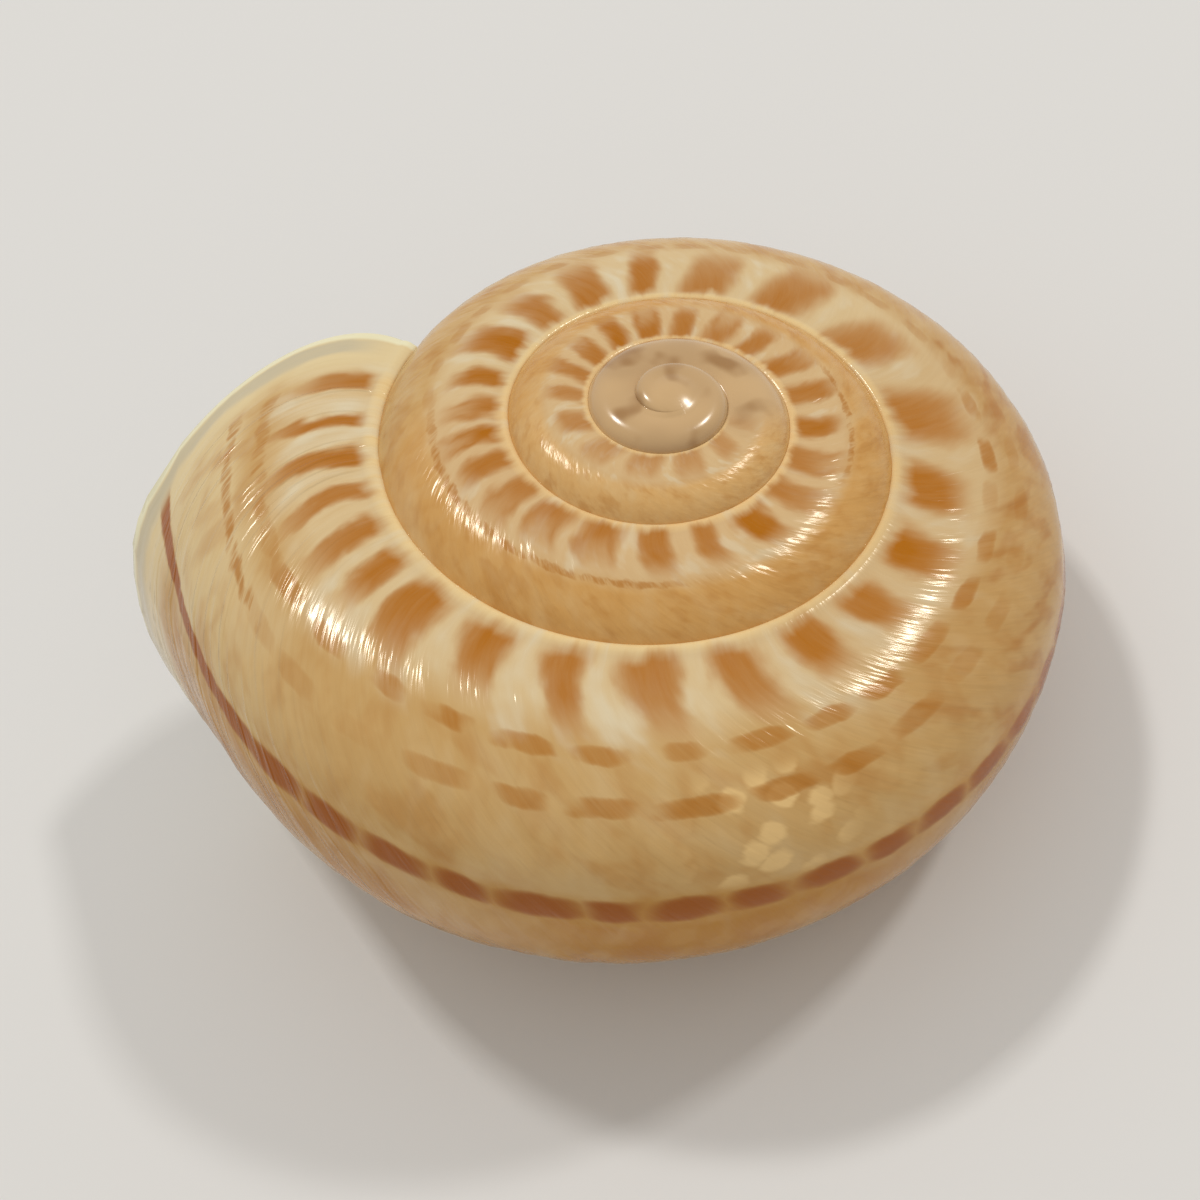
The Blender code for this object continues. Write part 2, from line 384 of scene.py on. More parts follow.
class WallPlan:
    """Points and faces of one closed wall. A point holds its turn, angle, way and inset for the rule. A
    stop on a row is a point and its place on the coil map, which differs where two whorls share it."""

    SPIRE_STEPS = 26
    PARIETAL_STEPS = 28
    RIM_STEPS = 6
    WHORLS = 4.4
    HOLLOW_WHORLS = 1.2
    SUTURE_CROWDING = 2  # rows stand closer together near the suture
    UMBILICUS = (radians(-152), radians(-157), radians(-161), radians(-164))
    NUCLEUS_ANGLE = radians(96)
    DOME_STEPS = 5  # of a row's steps on the first whorl, those from the pole to its outline
    DOME_POWER = 1.8
    NUCLEUS_RISE = radians(150)  # the first whorl rises out of the dome over this stretch
    HOLLOW_END = (1.08, -0.42)
    GLAZE_REACH = radians(14)  # the glaze inside the aperture runs out this far in front of it
    UPPER_SEARCH = radians(80), radians(179)  # angles between which whorls meet above and below
    LOWER_SEARCH = radians(-100), radians(-215)

    def __init__(self, rule, rings_per_turn):
        self.rule = rule
        self.per_turn = rings_per_turn
        self.step = 2 * pi / rings_per_turn
        self.rings = round(self.WHORLS * rings_per_turn)
        self.second_whorl = self.rings - rings_per_turn  # its first ring
        self.hollow_rings = round(self.HOLLOW_WHORLS * rings_per_turn)
        self.points, self.fixed, self.faces, self.corners = [], [], [], []
        self.radii = {}

    def turn(self, ring):
        return self.rule.lip_turn - ring * self.step

    def add_point(self, turn, angle, way, inset=0, inside=0, fixed=None, held=1):
        """held says how far the point stays at its fixed place rather than where the rule puts it."""
        self.points.append((turn, angle, way, inset, inside, held if fixed else 0))
        self.fixed.append(fixed or (0, 0, 0))
        return len(self.points) - 1

    def stop(self, index, turn, way):
        slant = self.rule.slant(self.rule.lip_turn - turn)
        return index, turn + (1 - slant) * self.rule.growth_lag(way), way

    def new_stop(self, ring, angle, inset=0, inside=0, ahead=0, held=0):
        turn = self.turn(ring) + ahead
        way = max(0, self.start(ring) - angle)
        fixed = None
        if held and angle > self.NUCLEUS_ANGLE:
            radius, _ = self.rule.outline(turn, angle)
            fixed = around(turn, radius, self.dome_height(turn, radius))
        return self.stop(self.add_point(turn, angle, way, inset, inside, fixed, held), turn, way)

    # Angles at which the whorls meet.

    @cache
    def met(self, kind, ring):
        limits = self.LOWER_SEARCH if kind == "columella" else self.UPPER_SEARCH
        inset = 0 if kind == "suture" else self.rule.wall
        return self.rule.meeting_angle(self.turn(ring), *limits, inset)

    def start(self, ring):
        return self.met("suture", ring) if ring <= self.second_whorl else self.NUCLEUS_ANGLE

    def angle_under(self, ring, kind, inset=0):
        """The angle on this ring that the next whorl's suture, wall or columella reaches."""
        following = ring - self.per_turn
        place = self.rule.outline(self.turn(following), self.met(kind, following), inset)
        return self.rule.angle_at(self.turn(ring), *place)

    def spire_angles(self, ring):
        first, last = self.start(ring), self.angle_under(ring, "suture")
        count = self.SPIRE_STEPS
        return [first + (last - first) * (n / count) ** self.SUTURE_CROWDING for n in range(count + 1)]

    def parietal_angles(self, ring):
        wall = self.rule.wall
        first, last = self.angle_under(ring, "wall", wall), self.angle_under(ring, "columella", wall)
        return [first + (last - first) * n / self.PARIETAL_STEPS for n in range(self.PARIETAL_STEPS + 1)]

    # The nucleus: a low dome round the pole, out of which the first whorl rises.

    def dome_height(self, turn, radius):
        depth = self.rule.apex_depth
        edge, height = self.rule.outline(turn, self.NUCLEUS_ANGLE)
        return (height + depth) * (radius / edge) ** self.DOME_POWER - depth

    def risen(self, ring):
        """How far the whorl that begins at the pole stands out of the dome."""
        return eased((self.rings - ring) * self.step / self.NUCLEUS_RISE)

    def nucleus_row(self, ring, pole):
        turn, start = self.turn(ring), self.NUCLEUS_ANGLE
        edge, _ = self.rule.outline(turn, start)
        risen = self.risen(ring)
        row = [self.stop(pole, turn, 0)]
        radii = [0]
        for n in range(1, self.DOME_STEPS):
            radius = edge * n / self.DOME_STEPS
            low, high = self.dome_height(turn + 2 * pi, radius), self.dome_height(turn, radius)
            place = around(turn, radius, low + (high - low) * risen)
            row.append(self.stop(self.add_point(turn, start, 0, fixed=place), turn, 0))
            radii.append(radius)
        last = self.angle_under(ring, "suture")
        count = self.SPIRE_STEPS - self.DOME_STEPS
        for n in range(count + 1):
            angle = start + (last - start) * n / count
            radius, _ = self.rule.outline(turn, angle)
            place = around(turn, radius, self.dome_height(turn + 2 * pi, radius))
            index = self.add_point(turn, angle, start - angle, fixed=place, held=1 - risen)
            row.append(self.stop(index, turn, start - angle))
            radii.append(radius)
        self.radii[ring] = radii
        return row

    def skin_nucleus_start(self, outer):
        """Sews the end of the first whorl's top to its own start and the second whorl beside it."""
        beside, before = self.second_whorl, self.second_whorl + 1
        older, newer = outer[before][0], [*outer[self.rings][0], *outer[beside][0][1:]]
        angles = self.spire_angles(beside)[1:]
        beside_radii = [self.rule.outline(self.turn(beside), angle)[0] for angle in angles]
        older_radii = [*self.radii[before], inf]
        newer_radii = [*self.radii[self.rings], *beside_radii, inf]
        one = other = 0
        while one < len(older) - 1 or other < len(newer) - 1:
            if older_radii[one + 1] < newer_radii[other + 1]:
                self.add_face(newer[other], older[one + 1], older[one])
                one += 1
            else:
                self.add_face(newer[other], newer[other + 1], older[one])
                other += 1

    # Rows of stops.

    def glaze(self, ring):
        """How much of the aperture's glaze lies on the whorl of one turn before."""
        return between(ring * self.step, 2 * pi - self.GLAZE_REACH, 2 * pi)

    def outer_rows(self):
        pole = self.add_point(0, 0, 0, fixed=(0, 0, -self.rule.apex_depth))
        rows = {}
        for ring in range(self.rings, -1, -1):
            older = rows.get(ring + self.per_turn)
            if older:
                spire = [self.stop(older[0][-1][0], self.turn(ring), 0)]
                held = 1 - self.risen(ring + self.per_turn)
                spire += [self.new_stop(ring, a, held=held) for a in self.spire_angles(ring)[1:]]
            else:
                spire = self.nucleus_row(ring, pole)
            parietal, umbilicus = [], []
            if ring <= self.per_turn + self.hollow_rings:
                glaze = self.glaze(ring)
                parietal = [self.new_stop(ring, a, inside=glaze) for a in self.parietal_angles(ring)]
            if ring <= self.per_turn:
                umbilicus = [self.new_stop(ring, a) for a in self.UMBILICUS]
            rows[ring] = spire, parietal, umbilicus
        return rows

    def wall_angles(self, ring):
        return [*self.spire_angles(ring)[1:], *self.parietal_angles(ring), *self.UMBILICUS[:-1]]

    def end_stop(self, stop, ring, angle):
        """A stop of the whorl of one turn before, as the end of a row of this ring."""
        return self.stop(stop[0], self.turn(ring), max(0, self.start(ring) - angle))

    def inner_rows(self, outer):
        rows = []
        for ring in range(self.hollow_rings + 1):
            parietal = outer[ring + self.per_turn][1]
            angles = self.wall_angles(ring)
            row = [self.new_stop(ring, a, self.rule.wall, 1) for a in angles]
            first = self.end_stop(parietal[0], ring, self.met("wall", ring))
            last = self.end_stop(parietal[-1], ring, self.met("columella", ring))
            rows.append([first, *row, last])
        return rows

    def rim_rows(self, outer, inner):
        """The lip's rounded edge, from the outer face to the inner one."""
        lip = sum(outer[0], [])
        angles = self.wall_angles(0)
        rows = [lip]
        for n in range(1, self.RIM_STEPS):
            part = n / self.RIM_STEPS
            inset = self.rule.wall * (1 - cos(pi * part)) / 2
            ahead = self.rule.lip_roll * sin(pi * part)
            near = lip if part <= 0.5 else inner[0]
            row = [self.new_stop(0, a, inset, part, ahead) for a in angles]
            rows.append([near[0], *row, near[-1]])
        return [*rows, inner[0]]

    # Faces.

    def add_face(self, *stops):
        kept = []
        for stop in stops:
            if stop[0] not in [other[0] for other in kept]:
                kept.append(stop)
        if len(kept) > 2:
            self.faces.append([stop[0] for stop in kept])
            self.corners += [coordinate for stop in kept for coordinate in stop[1:]]

    def loft(self, newer, older):
        for corners in zip(newer, newer[1:], older[1:], older):
            self.add_face(*corners)

    def fan(self, centre, row):
        """Triangles from one point to a row. Each takes its own place on the coil map from the row."""
        for one, other in zip(row, row[1:]):
            middle = centre, (one[1] + other[1]) / 2, (one[2] + other[2]) / 2
            self.add_face(middle, one, other)

    def build(self):
        outer = self.outer_rows()
        inner = self.inner_rows(outer)
        for ring in range(self.rings):
            newer, older = outer[ring], outer[ring + 1]
            if ring < self.per_turn:
                self.loft(sum(newer, []), sum(older, []))
            elif ring == self.second_whorl:
                self.skin_nucleus_start(outer)
            else:
                self.loft(newer[0], older[0])
                self.loft(newer[1], older[1])
        for rows in (inner, self.rim_rows(outer, inner)):
            for newer, older in zip(rows, rows[1:]):
                self.loft(newer, older)
        self.close_hollow(outer, inner)
        self.close_umbilicus(outer)

    def close_hollow(self, outer, inner):
        turn = self.turn(self.hollow_rings)
        size, middle = self.rule.whorl(turn)
        across, up = self.HOLLOW_END
        place = around(turn, size * across, middle + size * up)
        end = self.add_point(turn, 0, 0, fixed=place, inside=1)
        self.fan(end, inner[-1])
        self.fan(end, outer[self.per_turn + self.hollow_rings][1])

    def close_umbilicus(self, outer):
        callus = self.add_point(0, 0, 0, fixed=(0, 0, -self.rule.callus_depth))
        lip, behind = outer[0], outer[self.per_turn]
        self.fan(callus, [outer[ring][2][-1] for ring in range(self.per_turn + 1)])
        edge = [behind[1][-1], *behind[2]]
        self.fan(lip[2][-1][0], edge)
        last = edge[-1]
        self.add_face(lip[2][-1], last, (callus, last[1], last[2]))

    def mesh(self, name):
        mesh = bpy.data.meshes.new(name)
        mesh.from_pydata(self.fixed, [], self.faces)
        for column, attribute in enumerate(("turn", "angle", "way", "inset", "inside", "fixed")):
            layer = mesh.attributes.new(attribute, "FLOAT", "POINT")
            layer.data.foreach_set("value", [point[column] for point in self.points])
        mesh.uv_layers.new(name=COIL_MAP).data.foreach_set("uv", self.corners)
        mesh.update()
        return mesh


# Settings that only the plan or only the nodes need, and odd ones. The coil's rule takes the rest.
PLAN_INPUTS = "wall", "lip_roll", "callus_depth", "apex_depth"
NODE_INPUTS = "whorl_radius", "ridge_height", "bead_height", "lean", "lean_turn", "spin"
ODD_INPUTS = "seed", "apex_place", "rings_per_turn"
NOT_IN_RULE = *PLAN_INPUTS, *NODE_INPUTS, *ODD_INPUTS
RULE_INPUTS = [name for name in CoilSizes.__annotations__ if name not in NOT_IN_RULE]


def coil_tree():
    """The node group that winds the planned wall into the coil and lays it down."""
    tree = bpy.data.node_groups.new("Wound shell", "GeometryNodeTree")
    sheet = NodeSheet(tree)
    sockets = {"Geometry": "Geometry"} | {label(name): "Float" for name in (*RULE_INPUTS, *NODE_INPUTS)}
    sockets |= {"Seed": "Int", "Apex place": "Vector", "Glaze": "Material"}
    for name, kind in sockets.items():
        tree.interface.new_socket(name, in_out="INPUT", socket_type="NodeSocket" + kind)
    tree.interface.new_socket("Geometry", in_out="OUTPUT", socket_type="NodeSocketGeometry")
    group = sheet.add("NodeGroupInput")

    def given(name):
        return Wire(sheet, group.outputs[label(name)])

    def planned(name):
        return sheet.wire("GeometryNodeInputNamedAttribute", {"Name": name})

    rule = CoilRule({name: given(name) for name in RULE_INPUTS})
    turn, way, inset = planned("turn"), planned("way"), planned("inset")
    relief = shell_relief(sheet, rule, turn, way, given("seed"))
    outer = 1 - between(inset, 0, 0.01)
    raised = given("ridge_height") * relief + given("bead_height") * suture_bead(turn, way)
    wound = sheet.vector(*rule.place(turn, planned("angle"), way, inset - outer * raised))
    place = sheet.mix("VECTOR", planned("fixed"), wound, sheet.wire("GeometryNodeInputPosition"))
    lean_turn = given("lean_turn")
    lean_axis = sheet.vector(-maths("SINE", lean_turn), maths("COSINE", lean_turn))
    for axis, amount in ((lean_axis, given("lean")), ((0, 0, 1), given("spin"))):
        place = sheet.wire("ShaderNodeVectorRotate", {"Vector": place, "Axis": axis, "Angle": amount})
    scaling = {"Vector": place, "Scale": given("whorl_radius")}
    scaled = sheet.wire("ShaderNodeVectorMath", scaling, operation="SCALE")
    laid = sheet.wire("ShaderNodeVectorMath", {0: scaled, 1: given("apex_place")}, operation="ADD")
    shape = given("geometry")
    for kind, inputs in (
        ("GeometryNodeSetPosition", {"Position": laid}),
        ("GeometryNodeSetShadeSmooth", {}),
        ("GeometryNodeRealizeInstances", {}),
        ("GeometryNodeSetMaterial", {"Material": given("glaze")}),
    ):
        shape = sheet.wire(kind, {"Geometry": shape, **inputs})
    sheet.add("NodeGroupOutput", {"Geometry": shape})
    return tree


BROAD_RIDGES, FINE_RIDGES = 9, 34  # for a radian of growth
SEED_STEP = 7.31


def shell_relief(sheet, rule, turn, way, seed):
    """Growth ridges: low folds along the growth lines, uneven as they come."""
    lines = turn + (1 - rule.slant(rule.lip_turn - turn)) * rule.growth_lag(way)
    layer = seed * SEED_STEP
    broad = sheet.noise(sheet.vector(lines * BROAD_RIDGES, way * 0.8, layer), 1, 2)
    fine = sheet.noise(sheet.vector(lines * FINE_RIDGES, way * 1.6, layer + 4), 1, 1)
    near_lip = between(turn, rule.lip_turn - 0.9, rule.lip_turn - 0.1)
    amount = between(way, 0.03, 0.12) * between(turn, -16.5, -13)
    return amount * ((broad - 0.5) * 1.2 + (fine - 0.5) * (0.7 + 0.7 * near_lip))


def suture_bead(turn, way):
    """A thread along the suture, which is broader for its whorl on the early whorls."""
    breadth = 0.015 + 0.008 * between(turn, -5, -11)
    bump = way / breadth - 1.2
    return maths("EXPONENT", -(bump * bump)) * between(turn, -18.5, -15.5)


def new_object(name, data):
    added = bpy.data.objects.new(name, data)
    bpy.context.scene.collection.objects.link(added)
    return added


def wound_piece(name, mesh, tree, sizes, material):
    """Runs the node group on the planned mesh and returns a plain object."""
    plan = new_object(name + "_plan", mesh)
    modifier = plan.modifiers.new("Wind", "NODES")
    modifier.node_group = tree
    values = {label(key): getattr(sizes, key) for key in (*RULE_INPUTS, *NODE_INPUTS, "seed")}
    values |= {"Apex place": list(sizes.apex_place), "Glaze": material}
    for item in tree.interface.items_tree:
        if item.name in values:
            modifier[item.identifier] = values[item.name]
    graph = bpy.context.evaluated_depsgraph_get()
    wound = plan.evaluated_get(graph)
    result = bpy.data.meshes.new_from_object(wound, preserve_all_data_layers=True, depsgraph=graph)
    bpy.data.objects.remove(plan)
    result.name = name
    return new_object(name, result)


def turn_faces_out(mesh):
    surface = bmesh.new()
    surface.from_mesh(mesh)
    bmesh.ops.recalc_face_normals(surface, faces=surface.faces)
    surface.to_mesh(mesh)
    surface.free()
    mesh.set_sharp_from_angle(angle=SHARP_ANGLE)


# -------- the glaze

DEGREES = 180 / pi  # in a radian
ALONG, ROUND = 0.029, 0.0115  # whorl radii to a degree along and round the last whorl
SIDE_RADIUS = 1.66  # from the axis to the whorl's side, in whorl radii
FLAME_STEP, SPOT_STEP, DASH_STEP = 15, 10.8, 8.2  # degrees of growth from one mark to the next
FIRST_FLAME = 23.12  # the flames' count at the lip
FLECK_SCALE = 6.8
LINE_DEPTH = 0.000014  # of the fine lines, in metres

# Ground colours down from the suture. Each is even between its two shares of the half turn.
GROUND = {
    "suture_thread": (0, 0.005),
    "shoulder": (0.011, 0.132),
    "side": (0.188, 0.403),
    "base": (0.507, 0.6),
    "underside": (0.85, 1),
}


class ShellPlace:
    """Where a point of the glaze lies: its growth along the coil and its way from the suture, in degrees.
    Noises make the marks stray, and the shares are 1 on one stretch of the coil only."""

    def __init__(self, sheet, sizes):
        self.sheet = sheet
        coil = sheet.wire("ShaderNodeUVMap", uv_map=COIL_MAP)
        coil = sheet.add("ShaderNodeSeparateXYZ", {0: coil})
        self.growth = growth = Wire(sheet, coil.outputs["X"]) * DEGREES
        self.way = way = Wire(sheet, coil.outputs["Y"]) * DEGREES
        self.inside = sheet.wire("ShaderNodeAttribute", output="Fac", attribute_name="inside")
        size = maths("EXPONENT", growth * (sizes.growth / DEGREES))
        self.arc = size * (SIDE_RADIUS / sizes.growth)
        self.behind_lip = sizes.lip_turn * DEGREES - growth
        self.wander = self.clouds(4.5, 2) - 0.5
        self.ripple = self.clouds(11, 3) - 0.5
        self.streaks = self.lines(0.0022, 26, 5, 4, 0.62)
        self.bent_growth = growth + self.wander * 8 + self.ripple * 2.5
        self.bent_way = way + self.wander * 5 + self.ripple * 3
        self.near_lip = between(growth, -62, -8)
        self.last = between(growth, -372, -350)
        self.later = between(growth, -740, -700)
        self.first = between(growth, -868, -905)

    def clouds(self, scale, detail, layer=0):
        """Noise as broad as it is long on the last whorl's side."""
        spot = self.sheet.vector(self.growth * ALONG, self.way * ROUND, layer)
        return self.sheet.noise(spot, scale, detail)

    def lines(self, change, scale, layer, detail=1, roughness=0.5):
        """Noise drawn out along the growth lines, as fine on early whorls as on the last."""
        spot = self.sheet.vector(self.arc, self.way * change, layer)
        return self.sheet.noise(spot, scale, detail, roughness)


class Paint:
    """A colour that is built up coat by coat."""

    def __init__(self, sheet, colours, colour):
        self.sheet, self.colours, self.colour = sheet, colours, colour

    def coat(self, amount, colour, blend="MIX"):
        """Lays one of the shell's colours, or any other, over what is there."""
        if isinstance(colour, str):
            colour = tint(self.colours, colour)
        self.colour = self.sheet.mix("RGBA", amount, self.colour, colour, blend_type=blend)

    def shade(self, amount, red, green, blue):
        """Multiplies the colour."""
        self.coat(amount, (red, green, blue, 1), "MULTIPLY")


def tint(colours, name):
    return (*getattr(colours, name), 1)


def stretch(value, start, full, fading, end):
    """1 from full to fading, with a soft rise before and a soft fall after."""
    return between(value, start, full) * between(value, end, fading)


def rolls(sheet, key):
    """Three chances from 0 to 1 that belong to a key."""
    chance = sheet.wire("ShaderNodeTexWhiteNoise", {"W": key}, "Color", noise_dimensions="1D")
    parts = sheet.add("ShaderNodeSeparateColor", {0: chance})
    return [Wire(sheet, parts.outputs[n]) for n in range(3)]


def soft_spot(across, along):
    """1 in the middle of a rounded dash and 0 outside it."""
    square = along * along
    return between(across * across + square * square, 1.8, 0.1)


def line(value, middle, reach):
    """1 on a value and 0 further away than its reach."""
    away = (value - middle) / reach
    return between(away * away, 1, 0.05)


def flame_phase(growth):
    """Counts the flames along the coil. They stand closer together towards the lip."""
    wander = 0.72 * between(growth, -400, -350) - 0.75 * clamped((growth + 355) / 90)
    wander = wander - 2.4 * between(growth, -285, -160)
    wander = wander - 0.0105 * maths("MINIMUM", growth + 420, 0)
    wander = wander - 0.0217 * maths("MINIMUM", growth + 735, 0)
    wander = wander + 0.04 * maths("MAXIMUM", growth + 52, 0)
    return growth / FLAME_STEP + FIRST_FLAME + wander


def flame_slope(growth):
    """Degrees along the coil that a flame runs forward for each degree down from the suture."""
    slope = 0.38 - 0.28 * between(growth, -600, -540) + 0.32 * between(growth, -350, -285)
    return slope - 0.36 * between(growth, -205, -130)


def flames_and_gaps(at):
    """The flames below the suture, each with its own size, and the pale ground between them."""
    growth, way, last = at.growth, at.bent_way, at.last
    phase = flame_phase(at.bent_growth - flame_slope(growth) * (way - 12))
    count = maths("FLOOR", phase + 0.5)
    width_roll, length_roll, depth_roll = rolls(at.sheet, count * 1.37 + 11.3)
    start = 0.9 + 1.4 * depth_roll
    longer = last * between(growth, -195, -235) + at.later * between(growth, -540, -590)
    end = 21 + 9 * length_roll + 3 * at.near_lip + 5 * (1 - last) + 6 * longer
    down = clamped((way - start) / (end - start))
    sparse = stretch(growth, -330, -290, -215, -170)
    half_width = 0.34 + 0.1 * width_roll - 0.08 * at.near_lip - 0.07 * sparse
    half_width = (half_width - 0.05 * between(growth, -150, -110)) * (1 - 0.35 * down)
    across = (phase - count) / half_width
    across = across * across
    flames = between(across, 1.6, 0) * between(way, start - 0.8, start + 2.4)
    flames = flames * between(down, 1, 0.4) * (0.8 + 0.2 * depth_roll)
    hollow = between(width_roll, 0.45, 0.8) * between(across, 0.5, 0) * between(down, 0.1, 0.5)
    flames = flames * (1 - (0.45 - 0.33 * last) * hollow)
    flames = flames * (0.7 + 0.3 * at.later) * between(growth, 6, 3.5)
    return flames, between(across, 1, 2.6) * last * between(at.way, 30, 16)


def spot_rows(at):
    """Two thin rows of spots on the side, which run together near the lip."""
    growth, way, ripple = at.growth, at.way, at.ripple
    level = way + at.wander * 2 + ripple * 2.5
    phase = (at.bent_growth - 0.3 * (way - 30)) / SPOT_STEP
    count = maths("FLOOR", phase + 0.5)
    width_roll, length_roll, depth_roll = rolls(at.sheet, count * 1.91 + 4.6)
    offset = phase - count

    middle = 31 - 4 * between(growth, -260, -180)
    down = (level - middle - 1.5 * (length_roll - 0.5)) / 2.8
    row = soft_spot((offset + 0.16 * (width_roll - 0.5)) / 0.3, down) * between(length_roll, -0.2, 0.3)
    row = row * at.last * (0.5 + 0.5 * between(growth, -208, -185)) * between(growth, -18, -34)
    row = row * (0.7 + 0.3 * depth_roll)

    second_middle = 39 + 3.5 * between(growth, -165, -110) - 5.5 * between(growth, -45, -5)
    down = (level - second_middle - 2 * (width_roll - 0.5)) / 3.2
    second = soft_spot((offset - 0.05) / 0.34, down) * between(depth_roll, -0.2, 0.35)
    second = second * stretch(growth, -215, -180, -34, -22) * (0.7 + 0.25 * width_roll)
    second = second * (0.5 + 0.5 * between(growth, -152, -118)) * (1 - 0.5 * between(growth, -78, -50))

    earlier = stretch(growth, -475, -445, -380, -350) + stretch(growth, -578, -560, -532, -512)
    joined = line(way + ripple * 7, 28 - 1.5 * at.near_lip, 2.6)
    joined = joined * (0.6 * between(growth, -40, -20) + 0.85 * earlier)
    second_joined = line(way + ripple * 7, second_middle, 2.4) * between(growth, -38, -22)
    joined = maths("MAXIMUM", joined, second_joined * 0.9) * between(at.streaks, 0.35, 0.6)
    spots = maths("MAXIMUM", row, second) * (0.55 + 0.8 * at.streaks)
    return maths("MAXIMUM", spots, joined * between(growth, 8, 3))


def band_and_glow(at):
    """Dashes round the periphery, which join and climb towards the lip, and the glow between them."""
    growth, way, wander = at.growth, at.way, at.wander
    phase = (growth + wander * 5 - 0.25 * (way - 80)) / DASH_STEP
    offset = phase - maths("FLOOR", phase) - 0.5
    half_length = 0.37 + 0.16 * at.clouds(2.3, 1) + 0.8 * between(growth, -34, -12)
    middle = 81.5 - 13.2 * clamped((growth + 60) / 58)
    reach = 5.4 - 2.7 * between(growth, -42, -6)
    down = (way + wander * 2.5 + at.ripple * 2 - middle) / reach
    shown = stretch(growth, -700, -400, 7.5, 11)
    return soft_spot(offset / half_length, down) * shown, line(down, 0, 1.5) * shown


def ground_paint(at, colours, gaps):
    """The ground under the marks: bands of colour down from the suture, and what varies in them."""
    sheet, growth, way, last = at.sheet, at.growth, at.way, at.last
    earlier, low = 1 - last, between(way, 24, 34)
    thread_way = way * (1 - 0.45 * earlier * between(way, 7, 2))
    drawn_in = 8 * between(growth, -190, -110) * stretch(way, 4, 14, 30, 55)
    down = thread_way + between(way, 2, 8) * at.wander * 7 + drawn_in
    stops = [(share, tint(colours, name)) for name, shares in GROUND.items() for share in shares]
    ground = sheet.wire("ShaderNodeValToRGB", {"Fac": down / 180}, stops=stops)
    paint = Paint(sheet, colours, ground)

    # Earlier whorls are darker, above all near the suture. The last pales on its side near the lip.
    paint.shade(earlier, 0.96, 0.88, 0.82)
    paint.shade(earlier * at.later * low, 1.1, 1.05, 0.9)
    paint.shade((1 - at.later) * low, 1.2, 1.25, 1.3)
    paint.coat(0.75 * between(growth, -48, -8) * stretch(way, 28, 38, 66, 76), "lip_cream")

    # Clouds and streaks, stronger on one dull stretch.
    dull = stretch(growth, -235, -205, -140, -110)
    patches = at.clouds(5.5, 2, 3)
    paint.coat((0.3 + 0.25 * dull) * between(patches, 0.5, 0.68) * low, "spot")
    paint.coat(0.35 * between(at.clouds(1.7, 3), 0.48, 0.7), "shoulder")
    drawn_out = sheet.noise(sheet.vector((growth - 0.3 * way) * ALONG, way * 0.0055, 6), 6.5, 2)
    depth = (0.14 + 0.12 * last) * low
    paint.coat(depth * between(drawn_out, 0.5, 0.72), "shoulder")
    paint.coat(depth * between(drawn_out, 0.5, 0.3), "spot")
    pale = 0.4 * between(patches, 0.48, 0.3) + 0.4 * gaps * between(patches, 0.64, 0.4)
    paint.coat(clamped(pale) * (1 - low), "cream_patch")
    paint.shade((0.16 + 0.24 * at.near_lip) * between(at.streaks, 0.42, 0.66), 0.9, 0.8, 0.66)

    # Pale flecks, thickest on one stretch above the band.
    along = growth - 0.4 * way
    thick = stretch(along, -131, -124, -114, -107) * stretch(way, 31, 40, 68, 78)
    inputs = {"Vector": sheet.vector(along * ALONG, way * ROUND), "Scale": FLECK_SCALE, "Randomness": 0.9}
    cells = sheet.wire("ShaderNodeTexVoronoi", inputs, voronoi_dimensions="2D")
    flecks = between(cells + at.ripple * 0.5, 0.42, 0.22) * between(way, 31, 40)
    paint.coat(flecks * (0.08 + 0.8 * thick), "fleck")
    paint.shade(dull, 0.92, 0.87, 0.82)
    return paint


def first_whorls_colour(at, colours):
    """The glossy first whorls have no marks, only haze and smudges."""
    sheet = at.sheet
    place = sheet.wire("ShaderNodeTexCoord", output="Object")
    paint = Paint(sheet, colours, tint(colours, "early"))
    paint.coat(between(sheet.noise(place, 560, 1), 0.3, 0.7), "early_haze")
    paint.coat(between(sheet.noise(place, 1150, 1), 0.54, 0.78) * 0.7, "smudge")
    return paint.colour


def shell_colour(at, colours):
    way, ripple, wander, behind_lip = at.way, at.ripple, at.wander, at.behind_lip
    flames, gaps = flames_and_gaps(at)
    band, band_glow = band_and_glow(at)
    uneven = at.streaks - 0.5
    paint = ground_paint(at, colours, gaps)
    paint.coat(flames * (1 + 0.3 * uneven), "flame")
    paint.coat(spot_rows(at) * 0.8, "spot")

    # Behind the lip the pattern gives way to a cream zone with a greyish strip.
    cream = between(at.growth + 2.5 * between(way, 52, 62) + ripple * 2.5 + wander * 3, 2.5, 8.5)
    paint.coat(cream * 0.9, "lip_cream")
    paint.coat(band_glow * 0.4, "base")
    paint.coat(band * 0.97, "band")
    strip = between(behind_lip + ripple * 1.5, 1, 2.2) * between(behind_lip + wander * 4, 6, 3.8)
    strip = strip * (0.75 + 0.5 * uneven) * between(way, 2, 14) * (1 - 0.6 * between(way, 85, 120))
    paint.coat(strip, "lip_shade")
    paint.coat(at.first, first_whorls_colour(at, colours))
    paint.coat(between(behind_lip, 1.8, 0.9) * (1 - at.inside), "lip_edge")

    glazed = Paint(at.sheet, colours, tint(colours, "inside"))
    glazed.coat(0.35 * band, "band")
    paint.coat(between(at.inside, 0.1, 0.9), glazed.colour)
    return paint.colour


